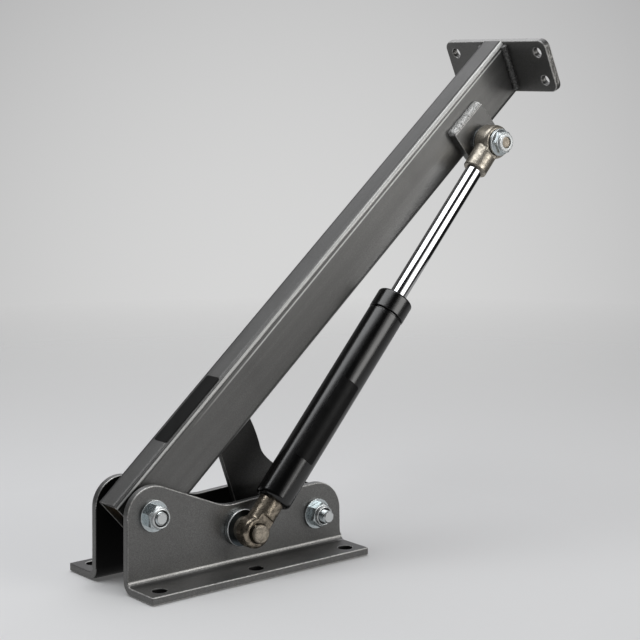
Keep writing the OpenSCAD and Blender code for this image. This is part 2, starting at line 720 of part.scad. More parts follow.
module piston_rod() color([0.88, 0.88, 0.88]) on_rod() {
    rod_along(piston_top - eps, collar_end, rod_r);
    rod_along(rod_end, piston_top, thread_r);
    rod_along(collar_end - eps, collar_end + rod_screw_len, thread_r);
}
module piston() color([0.55, 0.55, 0.56]) on_rod() difference() {
    rod_along(piston_low, piston_top, bore_r - 4 * running_gap);
    rod_along(piston_low - slice, piston_top + slice, thread_r + thread_gap);
    difference() {
        rod_along(piston_low + piston_len / 3, piston_top - piston_len / 3, bore_r + slice);
        rod_along(piston_low, piston_top, bore_r - ring_groove);
    }
}
module piston_ring() color([0.15, 0.15, 0.15]) on_rod() difference() {
    ring_end = piston_len / 3 + running_gap;
    rod_along(piston_low + ring_end, piston_top - ring_end, bore_r - running_gap);
    rod_along(piston_low, piston_top, bore_r - ring_groove + thread_gap);
}
module piston_nut() color([0.6, 0.6, 0.6]) on_rod() difference() {
    rotate([0, 90, 0]) chamfered_hex(rod_end, piston_nut_h, hex_af, edge_chamfer);
    rod_along(rod_end - slice, piston_low + slice, thread_r + thread_gap);
}
module upper_eye() color([0.58, 0.54, 0.48]) on_spring() {
    along = spring_len * cos(lean_deg);
    difference() {
        union() {
            translate([along, lean_y, 0]) rotate([90, 0, 0])
                rounded_boss(high_eye_d, high_eye_t, eye_edge_r);
            intersection() {
                rotate([0, 0, lean_deg]) turned_on_rod() polygon([
                    [0, collar_end], [shank_r - edge_chamfer, collar_end],
                    [shank_r, collar_end + edge_chamfer], [shank_r, spring_len], [0, spring_len]
                ]);
                union() {
                    rod_along(0, along - flat_len, far);
                    translate([0, lean_y - high_eye_t / 2, -far]) cube([far, high_eye_t, 2 * far]);
                }
            }
        }
        rotate([0, 0, lean_deg]) rod_along(0, collar_end + rod_screw_len + slice, thread_r + thread_gap);
        translate([along, 0, 0]) rotate([90, 0, 0])
            cylinder(h = far, r = bolt_r + float_gap, center = true);
    }
}

front_bracket();
rear_bracket();
pivot_bolt();
pivot_nut();
pivot_washers();
pivot_spacers();
stop_bolt();
stop_nut();
stop_washers();
stop_sleeve();
lower_pin();
lower_pin_washer();
lower_pin_nut();
lower_pin_clip();
arm_tube();
pivot_bush();
end_plate();
stop_plate();
spring_lug();
upper_stud();
upper_washer();
upper_nut();
weld_beads();
arm_label();
lower_eye();
barrel();
barrel_plug();
rod_guide();
rod_seal();
head_cap();
barrel_label();
piston_rod();
piston();
piston_ring();
piston_nut();
upper_eye();
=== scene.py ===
# Bed lift mechanism: finishes, rounded edges, threads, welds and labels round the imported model.
# Lengths are in metres, written as a count of MM. The arm, the gas spring and the cross bolts each
# have a frame of their own, worked out from the joints, in which their pieces are made.

import json
import math
import random

import bmesh
import bpy
from mathutils import Matrix, Vector

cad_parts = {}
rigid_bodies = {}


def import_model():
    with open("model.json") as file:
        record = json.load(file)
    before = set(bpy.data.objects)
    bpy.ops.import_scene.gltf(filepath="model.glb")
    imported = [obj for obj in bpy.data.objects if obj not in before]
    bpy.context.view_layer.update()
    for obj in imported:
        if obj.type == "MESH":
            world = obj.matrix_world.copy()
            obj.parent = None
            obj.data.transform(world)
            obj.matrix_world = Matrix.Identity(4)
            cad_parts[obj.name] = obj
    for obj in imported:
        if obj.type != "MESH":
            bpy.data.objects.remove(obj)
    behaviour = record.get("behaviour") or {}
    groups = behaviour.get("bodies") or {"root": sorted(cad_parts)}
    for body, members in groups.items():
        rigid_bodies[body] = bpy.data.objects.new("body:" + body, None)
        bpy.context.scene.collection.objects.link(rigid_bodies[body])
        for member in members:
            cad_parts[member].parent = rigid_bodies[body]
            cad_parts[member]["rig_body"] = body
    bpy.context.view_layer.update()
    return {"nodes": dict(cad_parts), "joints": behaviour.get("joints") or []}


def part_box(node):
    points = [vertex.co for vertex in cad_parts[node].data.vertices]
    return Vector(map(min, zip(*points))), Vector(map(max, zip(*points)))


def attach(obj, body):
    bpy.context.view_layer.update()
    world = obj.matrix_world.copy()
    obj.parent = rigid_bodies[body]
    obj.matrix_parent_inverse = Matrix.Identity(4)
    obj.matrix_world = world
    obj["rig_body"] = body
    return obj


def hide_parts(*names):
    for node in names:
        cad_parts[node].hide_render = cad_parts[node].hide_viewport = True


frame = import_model()
nodes = frame["nodes"]
joints = {joint["name"]: joint for joint in frame["joints"]}

MM = 0.001

# Camera, at the photograph's viewing angle
CAMERA_AT = Vector((-758.98, -1092.21, 393.28)) * MM
CAMERA_AZIMUTH = math.radians(-38.217)
CAMERA_DOWN = math.radians(8.699)
CAMERA_ROLL = math.radians(-0.661)
CAMERA_LENS = 99.05
CAMERA_SENSOR = 36.0

# Sizes that the frame does not give
ARM_RISE = math.radians(40.6)
BOLT_R = 5 * MM
BOLT_PITCH = 1.5 * MM
BOLT_CHAMFER = 1.1 * MM
THREAD_DEPTH = 0.85 * MM
NUT_HEX_H = 7 * MM
UPPER_HEX_H = 6.5 * MM
CROWN_R = 7.8 * MM
CROWN_OPENING_R = 6.3 * MM
UPPER_OPENING_R = 4.7 * MM
LIP_DEPTH = 0.8 * MM
BARREL_WALL = 1.5 * MM
BARREL_FLOOR = 3 * MM
BARREL_END_R = 4 * MM
BARREL_LIP_R = 0.7 * MM
SHANK_HOLE_R = 10.2 * MM
ROD_HOLE_R = 7.4 * MM
CAP_EDGE_R = 2.2 * MM
CAP_LIP_R = 0.5 * MM
CAP_GROOVE_W = 1.4 * MM
CAP_GROOVE_DEPTH = 1.4 * MM
SCREW_R = 5 * MM
LABEL_T = 0.25 * MM
LABEL_CORNER_R = 1.6 * MM
LABEL_RIM = 0.55 * MM
LABEL_LINE = 0.28 * MM
LABEL_STRIP = 0.8 * MM
PLATE_T = 6 * MM
TOP_OF_BEND = 10 * MM
TUBE_CORNER_R = 4.5 * MM
TUBE_HALF_H = 22.5 * MM
BRACKET_EDGE_R = 0.9 * MM

PIVOT = Vector(joints["arm_lift"]["pos_m"])
PIN = Vector(joints["strut_swing"]["pos_m"])
ROD_AXIS = Vector(joints["rod_slide"]["axis"]).normalized()


# Frames

def axes_frame(origin, x_axis, z_hint):
    """A frame at origin with its X along x_axis and its Z as near to z_hint as can be."""
    x = Vector(x_axis).normalized()
    y = Vector(z_hint).cross(x).normalized()
    z = x.cross(y)
    turn = Matrix((x, y, z)).transposed().to_4x4()
    return Matrix.Translation(origin) @ turn


ALONG_ARM = Vector((math.cos(ARM_RISE), 0, math.sin(ARM_RISE)))
ABOVE_ARM = Vector((-math.sin(ARM_RISE), 0, math.cos(ARM_RISE)))
TO_FRONT = Vector((0, -1, 0))
ARM = axes_frame(PIVOT, ALONG_ARM, ABOVE_ARM)
SPRING = axes_frame(PIN, ROD_AXIS, TO_FRONT)


def across(node):
    """A frame on a cross bolt's or pin's axis, with its X pointing to the front."""
    low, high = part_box(node)
    middle = (low + high) / 2
    return axes_frame((middle.x, 0, middle.z), TO_FRONT, (0, 0, 1))


def reach(node, place, beyond=0.0):
    """How far a node reaches along the X axis of a frame, where it is wider than beyond."""
    inverse = place.inverted()
    points = [inverse @ vert.co for vert in nodes[node].data.vertices]
    along = [point.x for point in points if math.hypot(point.y, point.z) > beyond]
    return min(along), max(along)


def widest(node, place):
    """A node's largest radius about the X axis of a frame."""
    inverse = place.inverted()
    points = [inverse @ vert.co for vert in nodes[node].data.vertices]
    return max(math.hypot(point.y, point.z) for point in points)


# Materials

def new_material(name, colour, roughness, metallic):
    material = bpy.data.materials.new(name)
    material.use_nodes = True
    shader = material.node_tree.nodes["Principled BSDF"]
    shader.inputs["Base Color"].default_value = (*colour, 1)
    shader.inputs["Roughness"].default_value = roughness
    shader.inputs["Metallic"].default_value = metallic
    return material, material.node_tree, shader


def tinted(colour, amount):
    """A colour made darker or lighter, channel by channel."""
    return tuple(min(1.0, channel * amount) for channel in colour)


def object_coords(tree, place=None, stretch=(1, 1, 1)):
    """Object coordinates, seen from one of the frames and stretched along its axes."""
    coords = tree.nodes.new("ShaderNodeTexCoord")
    socket = coords.outputs["Object"]
    if place is not None:
        inverse = place.inverted()
        turn = tree.nodes.new("ShaderNodeMapping")
        turn.inputs["Location"].default_value = inverse.to_translation()
        turn.inputs["Rotation"].default_value = inverse.to_euler()
        tree.links.new(socket, turn.inputs["Vector"])
        socket = turn.outputs["Vector"]
    if tuple(stretch) != (1, 1, 1):
        scale = tree.nodes.new("ShaderNodeMapping")
        scale.inputs["Scale"].default_value = stretch
        tree.links.new(socket, scale.inputs["Vector"])
        socket = scale.outputs["Vector"]
    return socket


def noise(tree, coords, size, detail=3.0, rough=0.55):
    """Noise whose grains are about size wide."""
    node = tree.nodes.new("ShaderNodeTexNoise")
    node.inputs["Scale"].default_value = 1 / size
    node.inputs["Detail"].default_value = detail
    node.inputs["Roughness"].default_value = rough
    tree.links.new(coords, node.inputs["Vector"])
    return node.outputs["Fac"]


def spread(tree, value, low, high, to_low=0.0, to_high=1.0):
    """Stretches what lies between low and high to the range from to_low to to_high."""
    node = tree.nodes.new("ShaderNodeMapRange")
    for socket, number in zip(("From Min", "From Max", "To Min", "To Max"), (low, high, to_low, to_high)):
        node.inputs[socket].default_value = number
    tree.links.new(value, node.inputs["Value"])
    return node.outputs["Result"]


def combined(tree, operation, first, second):
    """Arithmetic on two values, each a number or a socket."""
    node = tree.nodes.new("ShaderNodeMath")
    node.operation = operation
    for socket, value in zip(node.inputs, (first, second)):
        if isinstance(value, (int, float)):
            socket.default_value = value
        else:
            tree.links.new(value, socket)
    return node.outputs["Value"]


def mixed(tree, factor, first, second):
    """A colour between two others, each a colour or a socket."""
    node = tree.nodes.new("ShaderNodeMix")
    node.data_type = "RGBA"
    tree.links.new(factor, node.inputs["Factor"])
    ends = [socket for socket in node.inputs if socket.type == "RGBA"]
    for socket, value in zip(ends, (first, second)):
        if isinstance(value, tuple):
            socket.default_value = (*value, 1)
        else:
            tree.links.new(value, socket)
    return next(socket for socket in node.outputs if socket.type == "RGBA")


def bumped(tree, shader, height, depth, strength=1.0):
    node = tree.nodes.new("ShaderNodeBump")
    node.inputs["Strength"].default_value = strength
    node.inputs["Distance"].default_value = depth
    tree.links.new(height, node.inputs["Height"])
    tree.links.new(node.outputs["Normal"], shader.inputs["Normal"])


GREY = (0.185, 0.184, 0.18)
# Edges paler with wear and with a painted highlight.
PALE_EDGE = (0.72, 0.715, 0.69)
# Painted highlight in the bends and along the end plate's long edges.
PAINTED_HIGHLIGHT = (0.5, 0.495, 0.48)
# Painted highlight on the tube's near top corner.
CORNER_HIGHLIGHT_COLOUR = (0.8, 0.8, 0.78)
# White on zinc edges, crowns and bolt ends: partly burnish, partly painted highlight.
BURNISH_AND_HIGHLIGHT = (0.86, 0.88, 0.88)


def marked(tree, name):
    """A corner attribute of the mesh, from 0 to 1."""
    node = tree.nodes.new("ShaderNodeAttribute")
    node.attribute_name = name
    return node.outputs["Fac"]


def powder_coat(name, colour, edge_colour, roughness=0.36):
    """Fine grained grey coat with a metallic fleck, paler on its edges with wear and a painted highlight, and
    with a painted highlight in its bend.
    """
    material, tree, shader = new_material(name, colour, roughness, 0.75)
    coords = object_coords(tree)
    grain = noise(tree, coords, 0.7 * MM, 2)
    cloud = noise(tree, coords, 34 * MM, 3)
    fleck = spread(tree, noise(tree, coords, 0.4 * MM, 1), 0.66, 0.74, 0, 0.5)
    body = mixed(tree, spread(tree, grain, 0.32, 0.68), tinted(colour, 0.74), tinted(colour, 1.26))
    clouded = mixed(tree, spread(tree, cloud, 0.42, 0.72, 0, 0.5), body, tinted(colour, 0.78))
    flecked = mixed(tree, fleck, clouded, tinted(colour, 2.0))
    # Painted highlight in the bend, speckled.
    speckled = spread(tree, noise(tree, coords, 1.1 * MM, 3, 0.7), 0.36, 0.6, 0.3, 1)
    painted_highlight = combined(tree, "MULTIPLY", marked(tree, "painted_highlight"), speckled)
    highlighted = mixed(tree, painted_highlight, flecked, PAINTED_HIGHLIGHT)
    # Pale edges: wear and a painted highlight, in patches.
    edge_patches = spread(tree, noise(tree, coords, 1.6 * MM, 4), 0.34, 0.62, 0.25, 0.95)
    edge = combined(tree, "MULTIPLY", marked(tree, "wear_and_highlight"), edge_patches)
    tree.links.new(mixed(tree, edge, highlighted, edge_colour), shader.inputs["Base Color"])
    tree.links.new(spread(tree, combined(tree, "MAXIMUM", edge, painted_highlight), 0, 1, 0.75, 0.3),
                   shader.inputs["Metallic"])
    tree.links.new(spread(tree, cloud, 0.3, 0.7, roughness - 0.05, roughness + 0.06),
                   shader.inputs["Roughness"])
    bumped(tree, shader, grain, 0.05 * MM, 0.5)
    return material


def band(tree, value, low, high, soft):
    """1 between low and high, fading to 0 over the width soft on both sides."""
    rise = spread(tree, value, low - soft, low)
    fall = spread(tree, value, high, high + soft, 1, 0)
    return combined(tree, "MULTIPLY", rise, fall)


# Painted highlights and painted shade on the near top corner of the tube, as heights above the start of its
# rounding
CORNER_START = TUBE_HALF_H - TUBE_CORNER_R
THIN_SHADE_BAND = (CORNER_START + 0.1 * MM, CORNER_START + 0.5 * MM)
STRIP_LOW = (CORNER_START + 1.3 * MM, CORNER_START + 1.6 * MM)
STRIP_HIGH = (CORNER_START + 2.5 * MM, CORNER_START + 2.7 * MM)
TURN_TO_TOP = (CORNER_START + 3.75 * MM, TUBE_HALF_H - 0.1 * MM)
HIGHLIGHT_LINE = (CORNER_START - 4.15 * MM, CORNER_START - 3.05 * MM)
LINE_STARTS = (70 * MM, 160 * MM)
HIGHLIGHT_SLOPE = 0.0055


def tube_coat(name, colour, edge_colour):
    """The same coat on drawn tube, with faint lengthwise lines.

    Its near top corner has a painted highlight in a strip and a line, and painted shade in thin bands
    beside the strip and on the far top corner. Both highlights lean: the line climbs by the slope set above
    along the arm, and the strip's upper edge by half of it.
    """
    material = powder_coat(name, colour, edge_colour, 0.33)
    tree = material.node_tree
    shader = tree.nodes["Principled BSDF"]
    base = shader.inputs["Base Color"].links[0].from_socket
    lengthwise = object_coords(tree, ARM, (0.03, 1, 1))
    scratch = spread(tree, noise(tree, lengthwise, 1.1 * MM, 4, 0.7), 0.64, 0.78, 0, 0.4)
    drawn = spread(tree, noise(tree, lengthwise, 5 * MM, 3, 0.6), 0.35, 0.65, 0, 0.45)
    lined = mixed(tree, scratch, mixed(tree, drawn, base, tinted(colour, 0.72)), tinted(colour, 1.8))
    split = tree.nodes.new("ShaderNodeSeparateXYZ")
    tree.links.new(object_coords(tree, ARM), split.inputs["Vector"])
    along, sideways, height = split.outputs["X"], split.outputs["Y"], split.outputs["Z"]
    in_front = spread(tree, sideways, -0.5 * MM, 0.5 * MM, 1, 0)
    patchy = spread(tree, noise(tree, object_coords(tree, ARM, (0.3, 1, 1)), 1.2 * MM, 4), 0.3, 0.55, 0.8, 1)
    # Painted shade: a thin band where the corner's rounding starts, the far top corner, and a band where the
    # corner turns to the top.
    thin_shade = combined(tree, "MULTIPLY", band(tree, height, *THIN_SHADE_BAND, 0.3 * MM), in_front)
    behind = combined(tree, "MULTIPLY", spread(tree, height, CORNER_START, CORNER_START + 2 * MM),
                      spread(tree, sideways, 7 * MM, 9 * MM))
    turning = combined(tree, "MULTIPLY", in_front, band(tree, height, *TURN_TO_TOP, 0.08 * MM))
    dark = combined(tree, "MAXIMUM", combined(tree, "MAXIMUM", thin_shade, behind), turning)
    shaded = mixed(tree, dark, lined, tinted(colour, 0.35))
    easing = combined(tree, "SUBTRACT", height, combined(tree, "MULTIPLY", along, HIGHLIGHT_SLOPE / 2))
    # Painted highlight: a pale strip on the corner and a pale line lower on the side, patchy, on the near
    # side.
    strip = combined(tree, "MULTIPLY", spread(tree, height, *STRIP_LOW),
                     spread(tree, easing, *STRIP_HIGH, 1, 0))
    leaning = combined(tree, "SUBTRACT", height, combined(tree, "MULTIPLY", along, HIGHLIGHT_SLOPE))
    line = band(tree, leaning, *HIGHLIGHT_LINE, 0.2 * MM)
    line = combined(tree, "MULTIPLY", line, spread(tree, along, *LINE_STARTS))
    corner_highlight = combined(tree, "MULTIPLY", combined(tree, "MAXIMUM", strip, line), in_front)
    corner_highlight = combined(tree, "MULTIPLY", corner_highlight, patchy)
    tree.links.new(mixed(tree, corner_highlight, shaded, CORNER_HIGHLIGHT_COLOUR), shader.inputs["Base Color"])
    tree.links.new(spread(tree, corner_highlight, 0, 1, 0.75, 0.1), shader.inputs["Metallic"])
    return material


def sawn_edge(name, colour):
    """Cut edge of plate: dark, with the cut's fine pale teeth across it, and bright along its two corners
    with wear and a painted highlight.
    """
    material, tree, shader = new_material(name, colour, 0.4, 0.6)
    teeth = noise(tree, object_coords(tree, None, (1, 1, 0.35)), 1.1 * MM, 5, 0.7)
    cut = mixed(tree, spread(tree, teeth, 0.42, 0.66), tinted(colour, 0.12), tinted(colour, 0.8))
    edge = combined(tree, "MULTIPLY", marked(tree, "wear_and_highlight"), spread(tree, teeth, 0.3, 0.5, 0.6, 1))
    tree.links.new(mixed(tree, edge, cut, tinted(colour, 1.6)), shader.inputs["Base Color"])
    tree.links.new(spread(tree, edge, 0, 1, 0.6, 0.1), shader.inputs["Metallic"])
    bumped(tree, shader, teeth, 0.25 * MM, 0.6)
    return material


def zinc_plate(name, colour, roughness=0.24):
    """Bright zinc with soft clouds, white on its edges and crowns with burnish and a painted highlight."""
    material, tree, shader = new_material(name, colour, roughness, 1.0)
    coords = object_coords(tree)
    cloud = noise(tree, coords, 4.5 * MM, 3)
    clouded = mixed(tree, spread(tree, cloud, 0.36, 0.7), colour, tinted(colour, 0.8))
    edge = marked(tree, "wear_and_highlight")
    tree.links.new(mixed(tree, edge, clouded, BURNISH_AND_HIGHLIGHT), shader.inputs["Base Color"])
    tree.links.new(spread(tree, edge, 0, 1, 1, 0.45), shader.inputs["Metallic"])
    tree.links.new(spread(tree, cloud, 0.3, 0.7, roughness - 0.03, roughness + 0.05),
                   shader.inputs["Roughness"])
    bumped(tree, shader, noise(tree, coords, 1.2 * MM, 2), 0.003 * MM, 0.4)
    return material


def forged_steel(name, colour, dark=0.42, roughness=0.36, metallic=0.95, relief=0.3 * MM):
    """Bare brownish forging: mottled, dull in the hollows, with paler rubbed patches."""
    material, tree, shader = new_material(name, colour, roughness, metallic)
    coords = object_coords(tree)
    mottle = noise(tree, coords, 4.5 * MM, 6, 0.65)
    fleck = noise(tree, coords, 0.9 * MM, 3, 0.6)
    patches = mixed(tree, spread(tree, mottle, 0.38, 0.6), tinted(colour, dark), colour)
    tree.links.new(mixed(tree, spread(tree, fleck, 0.55, 0.72, 0, 0.7), patches, tinted(colour, 1.5)),
                   shader.inputs["Base Color"])
    tree.links.new(spread(tree, mottle, 0.35, 0.65, roughness + 0.1, roughness - 0.08),
                   shader.inputs["Roughness"])
    bumped(tree, shader, mottle, relief, 0.6)
    return material


def machined_steel(name, colour, roughness=0.32):
    """Turned or drawn metal with a fine cloud of tool marks."""
    material, tree, shader = new_material(name, colour, roughness, 1.0)
    cloud = noise(tree, object_coords(tree), 2.5 * MM, 4)
    tree.links.new(mixed(tree, spread(tree, cloud, 0.35, 0.65), colour, tinted(colour, 0.8)),
                   shader.inputs["Base Color"])
    bumped(tree, shader, cloud, 0.03 * MM, 0.4)
    return material


def black_gloss(name):
    """Stoved black enamel, with the faint waviness of sprayed paint."""
    material, tree, shader = new_material(name, (0.0008, 0.0008, 0.0008), 0.2, 0.0)
    shader.inputs["Specular IOR Level"].default_value = 0.7
    coords = object_coords(tree, SPRING, (0.25, 1, 1))
    wave = noise(tree, coords, 6 * MM, 2)
    tree.links.new(spread(tree, wave, 0.3, 0.7, 0.18, 0.24), shader.inputs["Roughness"])
    bumped(tree, shader, wave, 0.02 * MM, 0.2)
    return material


def hard_chrome(name):
    """Polished hard chrome with the finest lengthwise polishing lines."""
    material, tree, shader = new_material(name, (0.62, 0.62, 0.63), 0.04, 1.0)
    polish = noise(tree, object_coords(tree, SPRING, (0.02, 1, 1)), 0.7 * MM, 2)
    tree.links.new(spread(tree, polish, 0.3, 0.7, 0.03, 0.06), shader.inputs["Roughness"])
    return material


def label_film(name, colour, roughness=0.38):
    """Black printed film, a little smeared."""
    material, tree, shader = new_material(name, colour, roughness, 0.0)
    shader.inputs["Specular IOR Level"].default_value = 0.14
    smear = noise(tree, object_coords(tree), 9 * MM, 3)
    tree.links.new(mixed(tree, spread(tree, smear, 0.4, 0.7), colour, tinted(colour, 1.5)),
                   shader.inputs["Base Color"])
    tree.links.new(spread(tree, smear, 0.3, 0.7, roughness - 0.05, roughness + 0.08),
                   shader.inputs["Roughness"])
    return material


def moulded(name, colour, roughness):
    """Plastic or rubber with the fine grain of its mould."""
    material, tree, shader = new_material(name, colour, roughness, 0.0)
    grain = noise(tree, object_coords(tree), 0.6 * MM, 2)
    tree.links.new(mixed(tree, grain, colour, tinted(colour, 1.3)), shader.inputs["Base Color"])
    bumped(tree, shader, grain, 0.03 * MM, 0.3)
    return material


def weld_metal(name, colour, roughness, metallic, dark=0.4):
    """Rough weld, dark between its pale crests."""
    material, tree, shader = new_material(name, colour, roughness, metallic)
    rough = noise(tree, object_coords(tree), 1.2 * MM, 5, 0.7)
    tree.links.new(mixed(tree, spread(tree, rough, 0.4, 0.58), tinted(colour, dark), colour),
                   shader.inputs["Base Color"])
    bumped(tree, shader, rough, 0.3 * MM, 0.8)
    return material


COAT = powder_coat("graphite powder coat", GREY, PALE_EDGE)
# Painted shade: a near-black coat on the sides towards the gap and in the foot holes.
GAP_SHADE_COAT = powder_coat("graphite coat with painted shade inside", tinted(GREY, 0.06), tinted(GREY, 0.4), 0.5)
# Painted shade: a darker coat on the feet's tops.
FEET_SHADE_COAT = powder_coat("graphite coat with painted shade on feet", tinted(GREY, 0.6), PALE_EDGE, 0.42)
# Painted shade: a darker coat on the stop plate, under the tube.
STOP_PLATE_SHADE_COAT = powder_coat("graphite coat with painted shade on stop plate", tinted(GREY, 0.34), tinted(PALE_EDGE, 0.35))
TUBE_COAT = tube_coat("graphite coat on drawn tube", GREY, PALE_EDGE)
SAWN = sawn_edge("sawn plate edge", (0.5, 0.49, 0.47))
ZINC_BLUE = (0.66, 0.72, 0.74)
ZINC = zinc_plate("bright zinc plate", ZINC_BLUE)
# Painted shade: darker zinc for the lower pin washer's front, which the eye shades.
SHADED_ZINC_FRONT = zinc_plate("zinc plate with painted shade", (0.11, 0.13, 0.145), 0.34)
SOFT_ZINC = zinc_plate("satin zinc plate", ZINC_BLUE, 0.33)
FORGING = forged_steel("bare forging", (0.4, 0.345, 0.275), 0.22, 0.3)
NICKEL = forged_steel("pale forging", (0.5, 0.458, 0.39), 0.5, 0.38, 0.85, 0.08 * MM)
PIN_END = forged_steel("forged pin", (0.5, 0.44, 0.36), 0.4, 0.36, 0.7)
STEEL = machined_steel("machined steel", (0.42, 0.42, 0.43))
# Painted shade: near-black steel for the snap ring, standing for the shadow gap round the pin.
CLIP_SHADE_STEEL = machined_steel("near-black steel for painted shade", (0.035, 0.03, 0.024), 0.45)
BRONZE = machined_steel("sintered bronze", (0.42, 0.27, 0.12), 0.42)
GLOSS = black_gloss("stoved black enamel")
CHROME = hard_chrome("hard chrome")
FILM = label_film("blank black film", (0.004, 0.004, 0.004))
FILM_LINE = label_film("label outline", (0.04, 0.04, 0.039))
NYLON = moulded("black nylon", (0.008, 0.008, 0.009), 0.5)
RUBBER = moulded("seal rubber", (0.01, 0.01, 0.01), 0.6)
BARE_WELD = weld_metal("bare weld", (1.0, 1.0, 0.98), 0.4, 0.15, 0.3)
COATED_WELD = weld_metal("coated weld", tinted(GREY, 1.15), 0.36, 0.5, 0.25)


# Making pieces

def finished(bm, name, material, body, replaces=(), smooth=32, weighted=True):
    """Turns a bmesh into a piece that rides on its body and stands for the nodes that it replaces."""
    mesh = bpy.data.meshes.new(name)
    bm.to_mesh(mesh)
    bm.free()
    for skin in material if isinstance(material, (list, tuple)) else [material]:
        mesh.materials.append(skin)
    mesh.shade_smooth()
    mesh.set_sharp_from_angle(angle=math.radians(smooth))
    piece = bpy.data.objects.new(name, mesh)
    bpy.context.scene.collection.objects.link(piece)
    if weighted:
        modifier = piece.modifiers.new("even normals", "WEIGHTED_NORMAL")
        modifier.keep_sharp = True
        modifier.weight = 90
    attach(piece, body)
    if replaces:
        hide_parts(*replaces)
    return piece


def merged_copy(node):
    """A node's own shape as a bmesh, merged and with its flat faces joined up."""
    bm = bmesh.new()
    bm.from_mesh(nodes[node].data)
    bmesh.ops.remove_doubles(bm, verts=bm.verts, dist=0.001 * MM)
    bmesh.ops.dissolve_limit(bm, angle_limit=math.radians(0.5), verts=bm.verts, edges=bm.edges,
                             use_dissolve_boundaries=False, delimit=set())
    return bm


def sharp_edges(bm, angle):
    """The edges whose two faces turn by more than an angle in degrees."""
    return [edge for edge in bm.edges
            if len(edge.link_faces) == 2 and edge.calc_face_angle(0) > math.radians(angle)]


def mark_layer(bm, name):
    """The corner attribute that a coat reads through marked()."""
    return bm.loops.layers.float.get(name) or bm.loops.layers.float.new(name)


def mark(face, layer, share):
    for loop in face.loops:
        loop[layer] = share


def round_edges(bm, edges, width, segments=3, wear_and_highlight=1.0):
    """Rounds edges, and marks the middle of each rounding for pale wear and a painted highlight."""
    made = bmesh.ops.bevel(bm, geom=edges, offset=width, offset_type="OFFSET", segments=segments, profile=0.5,
                           affect="EDGES", clamp_overlap=False, material=-1)
    rounded = set(made["faces"])
    layer = mark_layer(bm, "wear_and_highlight")
    for face in rounded:
        for loop in face.loops:
            loop[layer] = wear_and_highlight if all(f in rounded for f in loop.vert.link_faces) else 0.0


def softened(node, name, material, width, angle=35, segments=3, touch=None, dull=None):
    """A CAD node with its edges rounded.

    The function touch, if given, works on the bmesh before the rounding. The function dull, if given,
    tells of a face's centre whether its rounded edges lose their pale wear and painted highlight there.
    """
    bm = merged_copy(node)
    if touch:
        touch(bm)
    round_edges(bm, sharp_edges(bm, angle), width, segments)
    if dull:
        layer = mark_layer(bm, "wear_and_highlight")
        for face in bm.faces:
            if dull(face.calc_center_median()):
                mark(face, layer, 0.0)
    return finished(bm, name, material, nodes[node]["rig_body"], [node])


def add_to(bm, made):
    """Adds one bmesh to another."""
    mesh = bpy.data.meshes.new("part of a piece")
    made.to_mesh(mesh)
    made.free()
    bm.from_mesh(mesh)
    bpy.data.meshes.remove(mesh)


def spun(bm, profile, closed, angle, steps, climb=0.0):
    """Spins a profile of (along, radius) points round the X axis, with a climb along it at each step."""
    points = [bm.verts.new((along, radius, 0)) for along, radius in profile]
    wire = [bm.edges.new(pair) for pair in zip(points, points[1:])]
    if closed:
        wire.append(bm.edges.new((points[-1], points[0])))
    bmesh.ops.spin(bm, geom=points + wire, cent=(0, 0, 0), axis=(1, 0, 0), dvec=(climb, 0, 0), angle=angle,
                   steps=steps, use_merge=not climb, use_normal_flip=False, use_duplicate=False)


def turned(bm, place, profile, segments=96):
    """Turns a profile of (along, radius) points round the X axis of a frame, and adds it to bm.

    It is closed between its last point and its first, unless it starts on the axis.
    """
    made = bmesh.new()
    spun(made, profile, profile[0][1] > 0, 2 * math.pi, segments)
    bmesh.ops.remove_doubles(made, verts=made.verts, dist=0.002 * MM)
    bmesh.ops.recalc_face_normals(made, faces=made.faces)
    bmesh.ops.transform(made, matrix=place, verts=made.verts)
    add_to(bm, made)


def arc(along, radius, size, start, end, steps=6):
    """Points on a quarter or other arc about (along, radius), with its angles in degrees from the axis."""
    angles = [math.radians(start + (end - start) * i / steps) for i in range(steps + 1)]
    return [(along + size * math.cos(a), radius + size * math.sin(a)) for a in angles]


def trim(bm, point, normal):
    """Cuts away what lies beyond a plane, on the side that its normal points to, and closes the cut."""
    cut = bmesh.ops.bisect_plane(bm, geom=bm.verts[:] + bm.edges[:] + bm.faces[:], plane_co=point,
                                 plane_no=normal, clear_outer=True, clear_inner=False)
    rim = [item for item in cut["geom_cut"] if isinstance(item, bmesh.types.BMEdge)]
    bmesh.ops.edgeloop_fill(bm, edges=rim)


def cut_off(bm, place, along):
    """Cuts away what lies beyond a place on the X axis of a frame."""
    trim(bm, place @ Vector((along, 0, 0)), place.to_3x3() @ Vector((1, 0, 0)))


def one_skin(piece, voxel_size, rounds):
    """Joins a piece's overlapping solids into one skin, and eases its edges."""
    joined = piece.modifiers.new("one skin", "REMESH")
    joined.mode = "VOXEL"
    joined.voxel_size = voxel_size
    joined.use_smooth_shade = True
    eased = piece.modifiers.new("eased edges", "SMOOTH")
    eased.factor = 0.5
    eased.iterations = rounds


# Brackets

def mark_bend_highlight(bm):
    """Marks the upper half of the bend's inside for a pale painted highlight."""
    layer = mark_layer(bm, "painted_highlight")
    for face in bm.faces:
        normal, height = face.normal, face.calc_center_median().z
        curved = abs(normal.x) < 0.1 and abs(normal.y) < 0.995 and PLATE_T < height < TOP_OF_BEND
        if curved and abs(normal.y) > normal.z > 0.02:
            mark(face, layer, 1.0)


# Where the foot holes' walls and the plates' inner sides lie, as distances from the middle
FOOT_HOLES_Y = (40.5 * MM, 52.5 * MM)
FOOT_HOLES_X = 98 * MM
GAP_SIDE_Y = 24 * MM


